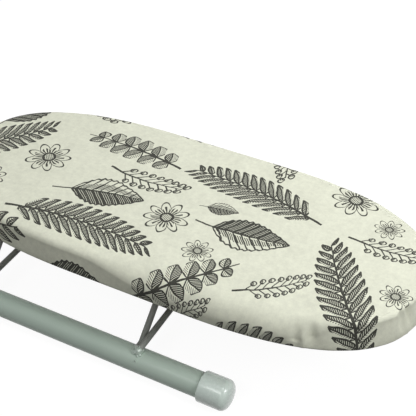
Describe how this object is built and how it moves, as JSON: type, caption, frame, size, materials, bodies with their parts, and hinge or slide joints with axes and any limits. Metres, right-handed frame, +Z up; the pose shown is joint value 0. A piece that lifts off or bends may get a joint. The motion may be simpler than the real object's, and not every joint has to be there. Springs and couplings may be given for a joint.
{
  "type": "tabletop ironing board",
  "caption": "Padded oval ironing board for a table top, with a printed cloth cover, on a wire stand with tube feet that folds flat sideways.",
  "frame": {"origin": "on the table, under the middle of the board", "axes": "+X along the board towards its free end, +Y towards the back, +Z up"},
  "size_m": [0.5596, 0.283, 0.1354],
  "materials": {
    "cover_cloth": "cream cotton with a dark leaf print",
    "foam": "open-cell foam",
    "elastic": "braided elastic",
    "panel": "bare particle board",
    "stand_paint": "grey-green satin paint",
    "cap_plastic": "white moulded plastic",
    "zinc_steel": "bright zinc plate"
  },
  "bodies": {
    "base": {"front_foot_tube": "stand_paint", "front_right_end_cap": "cap_plastic", "front_right_weld_bead": "stand_paint", "front_left_end_cap": "cap_plastic", "front_left_weld_bead": "stand_paint", "rear_foot_tube": "stand_paint", "rear_right_end_cap": "cap_plastic", "rear_right_weld_bead": "stand_paint", "rear_left_end_cap": "cap_plastic", "rear_left_weld_bead": "stand_paint", "right_tie_rod": "stand_paint", "left_tie_rod": "stand_paint"},
    "right_strut": {"right_strut_frame": "stand_paint"},
    "left_strut": {"left_strut_frame": "stand_paint"},
    "board": {"board_panel": "panel", "foam_pad": "foam", "cover": "cover_cloth", "hem_elastic": "elastic", "right_front_saddle": "zinc_steel", "right_front_saddle_screw_inner": "zinc_steel", "right_front_saddle_screw_outer": "zinc_steel", "right_front_stop": "zinc_steel", "right_front_stop_screw": "zinc_steel", "right_rear_saddle": "zinc_steel", "right_rear_saddle_screw_inner": "zinc_steel", "right_rear_saddle_screw_outer": "zinc_steel", "right_rear_stop": "zinc_steel", "right_rear_stop_screw": "zinc_steel", "left_front_saddle": "zinc_steel", "left_front_saddle_screw_inner": "zinc_steel", "left_front_saddle_screw_outer": "zinc_steel", "left_front_stop": "zinc_steel", "left_front_stop_screw": "zinc_steel", "left_rear_saddle": "zinc_steel", "left_rear_saddle_screw_inner": "zinc_steel", "left_rear_saddle_screw_outer": "zinc_steel", "left_rear_stop": "zinc_steel", "left_rear_stop_screw": "zinc_steel"}
  },
  "joints": [
    {"name": "stand_fold", "type": "hinge", "parent": "base", "child": "right_strut", "pos_m": [0.012, 0, 0.025], "axis": [0, -1, 0], "range_deg": [0, 78]},
    {"name": "left_strut_fold", "type": "hinge", "parent": "base", "child": "left_strut", "pos_m": [-0.196, 0, 0.025], "axis": [0, -1, 0], "range_deg": [0, 78]},
    {"name": "board_level", "type": "hinge", "parent": "right_strut", "child": "board", "pos_m": [0.01605, 0, 0.10219], "axis": [0, -1, 0], "range_deg": [-78, 0]}
  ],
  "couplings": [
    {"joint": "left_strut_fold", "follows": "stand_fold", "ratio": 1},
    {"joint": "board_level", "follows": "stand_fold", "ratio": -1}
  ]
}
